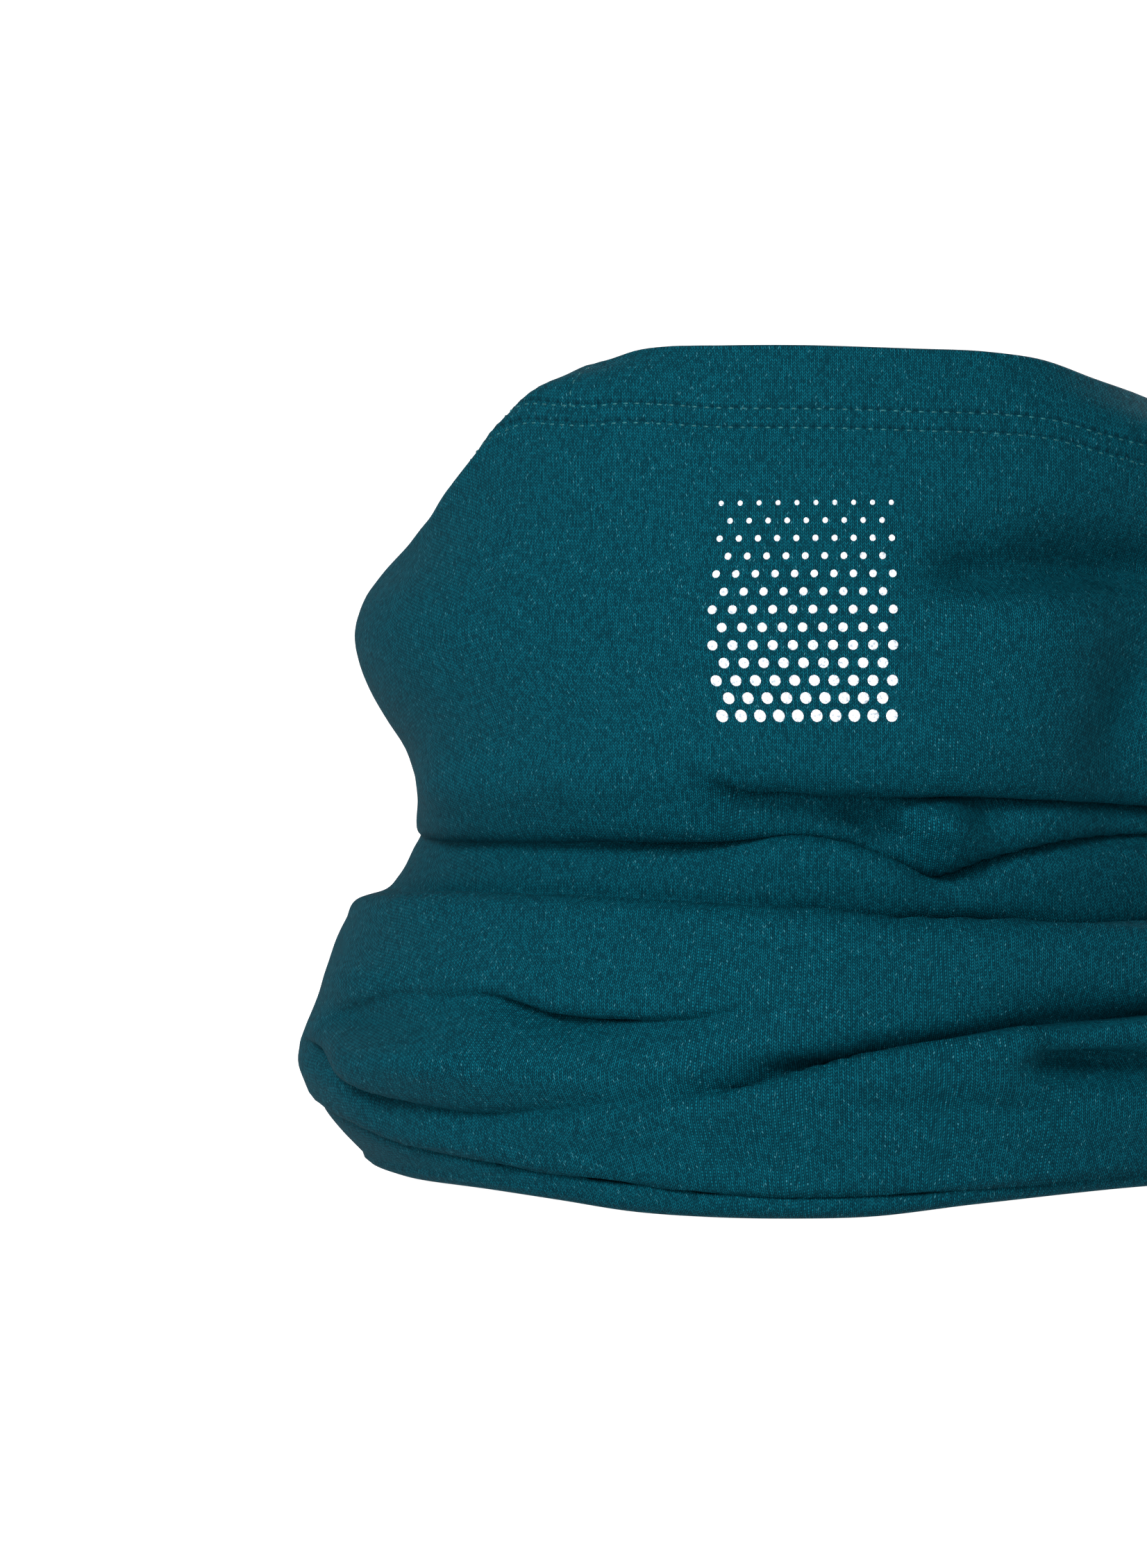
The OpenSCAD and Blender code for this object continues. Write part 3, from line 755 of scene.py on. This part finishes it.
def knit_material(name, face_side):
    """Jersey knit: columns of V-shaped loops on its face, rows of low arcs on its back."""
    material, nodes, links, shader = new_material(name)
    calc = calculator(nodes, links)
    flat = nodes.new("ShaderNodeAttribute")
    flat.attribute_name = "knit"
    parts = nodes.new("ShaderNodeSeparateXYZ")
    links.new(flat.outputs["Vector"], parts.inputs[0])
    wales = calc("DIVIDE", parts.outputs[0], WALE * MM)
    courses = calc("DIVIDE", parts.outputs[1], COURSE * MM)

    # each loop shows two slanting legs on the face, or one arc on the back
    off_middle = calc("ABSOLUTE", calc("SUBTRACT", calc("FRACT", wales), 0.5))
    if face_side:
        along = calc("ADD", courses, calc("MULTIPLY", off_middle, LEG_SLANT))
        across = calc("SINE", calc("MULTIPLY", off_middle, 2 * math.pi))
        halves = calc("FLOOR", calc("MULTIPLY", wales, 2))
    else:
        curve = calc("MULTIPLY", off_middle, off_middle)
        along = calc("ADD", courses, calc("MULTIPLY", curve, ARC_RISE))
        across = calc("SUBTRACT", 1, calc("MULTIPLY", off_middle, ARC_THIN))
        halves = calc("FLOOR", wales)
    yarn = calc("MULTIPLY", across, calc("SINE", calc("MULTIPLY", calc("FRACT", along), math.pi)))

    # legs differ at random in brightness, the dye is a little uneven, and a few legs get a painted glint; on
    # the face, left legs get painted light, right legs painted shade, and the needle holes painted shade
    leg = nodes.new("ShaderNodeCombineXYZ")
    links.new(halves, leg.inputs[0])
    links.new(calc("FLOOR", along), leg.inputs[1])
    chance = nodes.new("ShaderNodeTexWhiteNoise")
    chance.noise_dimensions = "2D"
    links.new(leg.outputs[0], chance.inputs["Vector"])
    luck = chance.outputs["Value"]
    patch = noise(nodes, links, flat.outputs["Vector"], PATCH_SCALE, 3)
    shade = calc("MULTIPLY", yarn, calc("ADD", LOOP_DIM, calc("MULTIPLY", luck, LOOP_RANGE)))
    if face_side:
        shade = calc("MULTIPLY", shade, painted_leg_light(calc, wales))
        shade = calc("MULTIPLY", shade, calc("SUBTRACT", 1, needle_hole_shade(calc, *parts.outputs[:2])))
    shade = calc("ADD", shade, calc("MULTIPLY", calc("SUBTRACT", patch, 0.5), PATCH_STRENGTH))
    # painted shade: the cloth is painted darker between the loops, from the yarn's colour down to the gap's
    colour = ramp(nodes, links, shade, 0.0, 1.0, GAP_SHADE_COLOUR, YARN_COLOUR)
    glint = calc("MULTIPLY", calc("GREATER_THAN", luck, GLINT_ABOVE), calc("POWER", yarn, 2))
    mixed = nodes.new("ShaderNodeMix")
    mixed.data_type = "RGBA"
    mixed.inputs["B"].default_value = (*GLINT_COLOUR, 1)
    links.new(calc("MULTIPLY", glint, GLINT_STRENGTH), mixed.inputs["Factor"])
    links.new(colour, mixed.inputs["A"])
    set_surface(links, shader, mixed.outputs["Result"], 0.75, 0.03)
    bump(nodes, links, shader, yarn, 0.6, LOOP_HEIGHT)
    return material


def thread_material():
    """Twisted polyester thread, a shade lighter than the cloth."""
    material, nodes, links, shader = new_material("teal_thread")
    place = nodes.new("ShaderNodeTexCoord").outputs["Object"]
    twist = noise(nodes, links, place, 2500)
    colour = ramp(nodes, links, twist, 0.3, 0.7, THREAD_DARK, THREAD_LIGHT)
    set_surface(links, shader, colour, 0.45, 0.3)
    bump(nodes, links, shader, twist, 0.5, FINE_RELIEF)
    return material


def reflective_material():
    """Silver-white reflective film with a fine grain."""
    material, nodes, links, shader = new_material("reflective_film")
    place = nodes.new("ShaderNodeTexCoord").outputs["Object"]
    grain = noise(nodes, links, place, 2600, 3)
    colour = ramp(nodes, links, grain, 0.34, 0.54, FILM_DARK, FILM_LIGHT)
    set_surface(links, shader, colour, 0.45)
    bump(nodes, links, shader, grain, 0.4, FINE_RELIEF)
    return material


def label_material():
    """White satin ribbon: fine ribs along its length."""
    material, nodes, links, shader = new_material("satin_label")
    calc = calculator(nodes, links)
    place = nodes.new("ShaderNodeTexCoord").outputs["Object"]
    parts = nodes.new("ShaderNodeSeparateXYZ")
    links.new(place, parts.inputs[0])
    ribs = calc("SINE", calc("MULTIPLY", parts.outputs[2], 2 * math.pi / (RIB * MM)))
    fibre = calc("ADD", calc("MULTIPLY", ribs, 0.25), noise(nodes, links, place, 1500))
    colour = ramp(nodes, links, fibre, 0.2, 0.8, SATIN_DARK, SATIN_LIGHT)
    set_surface(links, shader, colour, 0.38)
    bump(nodes, links, shader, fibre, 0.3, FINE_RELIEF)
    return material


def studio_material():
    """Paper that the camera sees as white, but that throws less light back than white paper would.

    Light from a white floor would fill in the folds, which then hardly show.
    """
    material, nodes, links, shader = new_material("white_paper")
    calc = calculator(nodes, links)
    place = nodes.new("ShaderNodeTexCoord").outputs["Object"]
    grain = noise(nodes, links, place, 30)
    colour = ramp(nodes, links, grain, 0, 1, PAPER_DARK, PAPER_LIGHT)
    set_surface(links, shader, colour, 0.9)
    shader.inputs["Emission Color"].default_value = (1, 1, 1, 1)
    seen = nodes.new("ShaderNodeLightPath").outputs["Is Camera Ray"]
    glow = calc("ADD", PAPER_GLOW, calc("MULTIPLY", seen, PAPER_GLOW_SEEN))
    links.new(glow, shader.inputs["Emission Strength"])
    return material


# ---------------------------------------------------------------- the panel

knit_face = knit_material("teal_jersey_face", True)
knit_back = knit_material("teal_jersey_back", False)
thread = thread_material()

turned_in = upper_hem()
grid = np.concatenate([turned_in, outer, turned_under()])
panel, flat_length = tube_mesh("gaiter_cloth", grid, len(turned_in), knit_face)
panel.data.materials.append(knit_back)
thicken(panel, CLOTH_T, inside=1)
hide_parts("tube_panel")
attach(panel, "root")


# ---------------------------------------------------------------- hem stitching

def hem_row(name, surface, place):
    """A needle thread's stitches round a hem."""
    path = stitched(surface, lambda s: (SEAM_AT + s * 360 / STITCHES, place), STITCHES, True)
    thread_piece(name, [path])


def hem_looper(name, surface, first):
    """The thread that zigzags between a hem's two rows, on the back of the hem's inner ply."""
    s = np.arange(STITCHES * 4) / 4
    swing = (1 - np.cos(math.pi * s)) / 2
    spots, faces = surface(SEAM_AT + s * 360 / STITCHES, first + ROW_GAP * swing)
    spots = spots - faces * (PLY_GAP + CLOTH_T / 2 + THREAD_R)
    thread_piece(name, [(spots, -faces, True)])


hem_row("top_hem_needle_thread_upper", on_outer, ROW_IN)
hem_row("top_hem_needle_thread_lower", on_outer, ROW_IN + ROW_GAP)
hem_looper("top_hem_looper_thread", on_outer, ROW_IN)
hem_row("lower_hem_needle_thread_upper", on_turned, TURN_H - ROW_IN)
hem_row("lower_hem_needle_thread_lower", on_turned, TURN_H - ROW_IN - ROW_GAP)
hem_looper("lower_hem_looper_thread", on_turned, TURN_H - ROW_IN - ROW_GAP)


# ---------------------------------------------------------------- the closing seam

def rounded_bar(width, thick):
    """The outline of a strip of cloth with rounded edges, lying on its back."""
    flat_half = width / 2 - thick / 2
    bend = np.radians([-90, -45, 0, 45, 90])
    right = [(flat_half + thick / 2 * math.cos(a), thick / 2 * math.sin(a)) for a in bend]
    return np.array(right + [(-x, -y) for x, y in right])


SEAM_THICK = 2 * CLOTH_T
SEAM_BELOW_HEM = 2                            # from the hem's raw edge to where the strip starts
SEAM_ABOVE_FOOT = 6                           # from where it ends to the lower edge
NEEDLE_IN = 0.8                               # the needle thread, from the strip's left edge
NEEDLE_FLAT = 0.6                             # how high its stitches are, beside those of the hems
LOOPER_AT, LOOPER_SWING = 0.6, 2              # inner looper thread: off the strip's middle, and its swing
TACKS = 5                                     # stitches that hold the seam's end down in the top hem
TACK_FIRST, TACK_LONG = 1.2, 1.9              # where they start below the top edge, and the length of one
seam_drops = np.arange(HEM_D + SEAM_BELOW_HEM, full_drop[0] - SEAM_ABOVE_FOOT, 1.0)


def on_seam(across, drop, rise_by):
    """A place over the seam's turned edges, inside: across them, down them, and off their inner face."""
    spots, faces = on_outer(np.full_like(drop, SEAM_AT), drop)
    heading = unit(np.gradient(spots, axis=0))
    side = np.cross(heading, faces)
    off = CLOTH_T / 2 + FACE_CLEARANCE + SEAM_THICK + rise_by
    return spots - faces * np.reshape(off, (-1, 1)) + side * np.reshape(across, (-1, 1)), -faces


def seam_strip():
    """The seam's two raw edges, which lie to one side as a strip inside the tube."""
    spots, faces = on_seam(np.zeros(len(seam_drops)), seam_drops, -SEAM_THICK / 2)
    outline = rounded_bar(SEAM_W, SEAM_THICK)
    points, quads = sweep([(spots, faces, False)], outline)
    strip = make_mesh("seam_allowance_cloth", points, quads, knit_back)
    turns = np.arange(len(points)) % len(outline)
    flat = [
        (turns[v] * SEAM_W / len(outline), v // len(outline) * 1.0)
        for quad in quads for v in quad
    ]
    lay_flat(strip, flat)
    finish_piece(strip, "knit", "seam_allowance")


def seam_threads():
    """The needle thread along the strip, and the two looper threads over its face and its edge."""
    # four points to a step of the strip, and a zigzag that comes round every four steps
    s = np.arange(len(seam_drops) * 4)
    drop = np.interp(s / 4, np.arange(len(seam_drops)), seam_drops)
    zigzag = np.sin(math.pi * s / 8)
    left = np.full_like(drop, NEEDLE_IN - SEAM_W / 2)
    lift = STITCH_LIFT[s % len(STITCH_LIFT)] * NEEDLE_FLAT
    inner, faces = on_seam(left, drop, lift)
    # the needle thread also tacks down the seam's end, outside, in the top hem
    beside = SEAM_AT + 0.2
    tack = stitched(
        on_outer, lambda n: (np.full_like(n, beside), TACK_FIRST + n * TACK_LONG), TACKS, False
    )
    thread_piece("seam_needle_thread", [(inner, faces, False), tack])
    inner, faces = on_seam(LOOPER_AT + zigzag * LOOPER_SWING, drop, THREAD_R)
    thread_piece("seam_inner_looper_thread", [(inner, faces, False)])
    at_edge = SEAM_W / 2 - 0.05 + 0.1 * np.abs(zigzag)
    edge, faces = on_seam(at_edge, drop, -SEAM_THICK * (1 + zigzag) / 2)
    thread_piece("seam_outer_looper_thread", [(edge, faces, False)])


seam_strip()
seam_threads()


# ---------------------------------------------------------------- print and label

PRINT_COLUMNS = 10
PRINT_ROWS = 13
DOT_BIG, DOT_SMALL = 2.1, 0.9         # across the dots of the lowest and the highest row
PRINT_LIFT = 0.1                      # how far the film stands off the cloth
DOT_SIDES = 14
# a dot from its middle out: share of its radius, and share of PRINT_LIFT; its edge goes into the cloth
DOT_RINGS = [(0.35, 1), (0.7, 1), (0.92, 0.8), (1, -0.5)]

LABEL_REACH = 17                      # length of the folded ribbon
LABEL_FROM_SEAM = 1.5
LABEL_GAP = 0.45                      # between its two layers
LABEL_T = 0.15
LABEL_OFF = 0.6                       # how far off the cloth it starts
LABEL_SAG = 1.2                       # how much further off it ends


def reflective_print():
    """Rows of round dots that shrink towards the top, in the place that the CAD node has."""
    low, high = (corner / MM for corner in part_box("reflective_print"))
    pitch = (high.x - low.x - DOT_BIG) / (PRINT_COLUMNS - 1)
    row_pitch = (high.z - low.z - (DOT_BIG + DOT_SMALL) / 2) / (PRINT_ROWS - 1)
    around = np.arange(DOT_SIDES) / DOT_SIDES * 2 * math.pi
    points, faces = [], []
    for row in range(PRINT_ROWS):
        radius = (DOT_BIG + (DOT_SMALL - DOT_BIG) * row / (PRINT_ROWS - 1)) / 2
        height = low.z + DOT_BIG / 2 + row * row_pitch
        count = PRINT_COLUMNS - row % 2
        for i in range(count):
            x = (low.x + high.x) / 2 + (i - (count - 1) / 2) * pitch
            xs = [x] + [x + radius * out * math.cos(a) for out, _ in DOT_RINGS for a in around]
            zs = [height] + [height + radius * out * math.sin(a) for out, _ in DOT_RINGS for a in around]
            lifts = [PRINT_LIFT] + [PRINT_LIFT * lift for _, lift in DOT_RINGS for _ in around]
            angle = np.degrees(np.arcsin(np.array(xs) / UPPER_R))
            drop = top_of(angle) - np.array(zs)
            spots, facing = on_outer(angle, drop)
            middle = len(points)
            ring = middle + 1
            points.extend(spots + facing * (CLOTH_T / 2 + np.array(lifts))[:, None])
            faces += [(middle, ring + k, ring + (k + 1) % DOT_SIDES) for k in range(DOT_SIDES)]
            faces += ring_faces(len(DOT_RINGS), DOT_SIDES, False, ring)
    dots = make_mesh("reflective_dots", points, faces, reflective_material())
    finish_piece(dots, "reflective", "reflective_print")


def care_label():
    """A blank ribbon folded in half, with its ends in the seam, lying against the inside."""
    low, high = (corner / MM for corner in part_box("care_label"))
    middle = (low + high) / 2
    round_r = LABEL_GAP / 2
    run = np.linspace(0, LABEL_REACH, 9)
    bend = np.radians([-60, -30, 0, 30, 60])
    # the ribbon from end to end: how far along the cloth, and how far off its first layer
    line = [(x, 0) for x in run]
    line += [(LABEL_REACH + round_r * math.cos(a), round_r + round_r * math.sin(a)) for a in bend]
    line += [(x, LABEL_GAP) for x in reversed(run)]
    zs = np.linspace(high.z, low.z, 7)
    points = []
    for x, lift in line:
        sag = LABEL_SAG * (x / LABEL_REACH) ** 2
        along = SEAM_W / 2 + LABEL_FROM_SEAM + x
        angle = SEAM_AT + np.degrees(along / math.hypot(middle.x, middle.y))
        drop = top_of(np.full_like(zs, angle)) - zs
        spots, faces = on_outer(np.full_like(zs, angle), drop)
        off = CLOTH_T + LABEL_OFF + lift + sag
        points.extend(spots - faces * off)
    n = len(zs)
    faces = [
        (r * n + k, (r + 1) * n + k, (r + 1) * n + k + 1, r * n + k + 1)
        for r in range(len(line) - 1) for k in range(n - 1)
    ]
    label = make_mesh("folded_label", points, faces, label_material())
    thicken(label, LABEL_T)
    finish_piece(label, "label", "care_label")


reflective_print()
care_label()


# ---------------------------------------------------------------- stage, light and camera

def sweep_floor():
    """A floor under the lower edge that curves up far behind into a backdrop."""
    width, front, back, corner, height = 6000, -4000, 2600, 900, 4500
    bend_parts = 12
    line = [(front, Z_LOW), (back - corner, Z_LOW)]
    for i in range(1, bend_parts + 1):
        swing = math.pi / 2 * i / bend_parts
        line.append((back - corner + corner * math.sin(swing), Z_LOW + corner * (1 - math.cos(swing))))
    line.append((back, height))
    points = [(x, y, z) for y, z in line for x in (-width, width)]
    faces = [(2 * i, 2 * i + 1, 2 * i + 3, 2 * i + 2) for i in range(len(line) - 1)]
    return make_mesh("studio_floor", points, faces, studio_material())


def area_light(name, place, size, power):
    """A round lamp that faces the object, at a place and of a size in metres, with a power in watts."""
    data = bpy.data.lights.new(name, "AREA")
    data.shape = "DISK"
    data.size = size
    data.energy = power
    lamp = add_object(name, data)
    lamp.location = place
    lamp.rotation_euler = (-Vector(place)).to_track_quat("-Z", "Y").to_euler()


sweep_floor()
area_light("key", (-0.65, -1.6, 0.95), 0.8, 36)
area_light("fill", (-0.4, -1.8, 0.1), 1.0, 11)
area_light("top", (0, 0.2, 1.9), 1.4, 6)
area_light("back", (0.9, 1.6, 0.9), 1.2, 32)

SKY_LIGHT = 0.15                              # what the world gives off; the camera alone sees it as white
world = bpy.data.worlds.new("studio")
world.use_nodes = True
tree = world.node_tree
background = tree.nodes["Background"]
background.inputs["Color"].default_value = (1, 1, 1, 1)
seen = tree.nodes.new("ShaderNodeLightPath").outputs["Is Camera Ray"]
strength = calculator(tree.nodes, tree.links)("MAXIMUM", seen, SKY_LIGHT)
tree.links.new(strength, background.inputs["Strength"])
bpy.context.scene.world = world
bpy.context.scene.view_settings.view_transform = "Standard"

VIEW_TALL = 275.6                             # height that the picture takes in at the neck's axis, in mm
VIEW_FAR = 1100                               # distance of the camera from that axis
VIEW_X, VIEW_Z = -48, 4.7                     # middle of the picture: the object stands right of it
SENSOR = 36
camera_data = bpy.data.cameras.new("camera")
camera_data.sensor_width = SENSOR
camera_data.lens = SENSOR * VIEW_FAR / VIEW_TALL
camera = add_object("camera", camera_data)
camera.location = (VIEW_X * MM, -VIEW_FAR * MM, VIEW_Z * MM)
camera.rotation_euler = (math.pi / 2, 0, 0)
bpy.context.scene.camera = camera
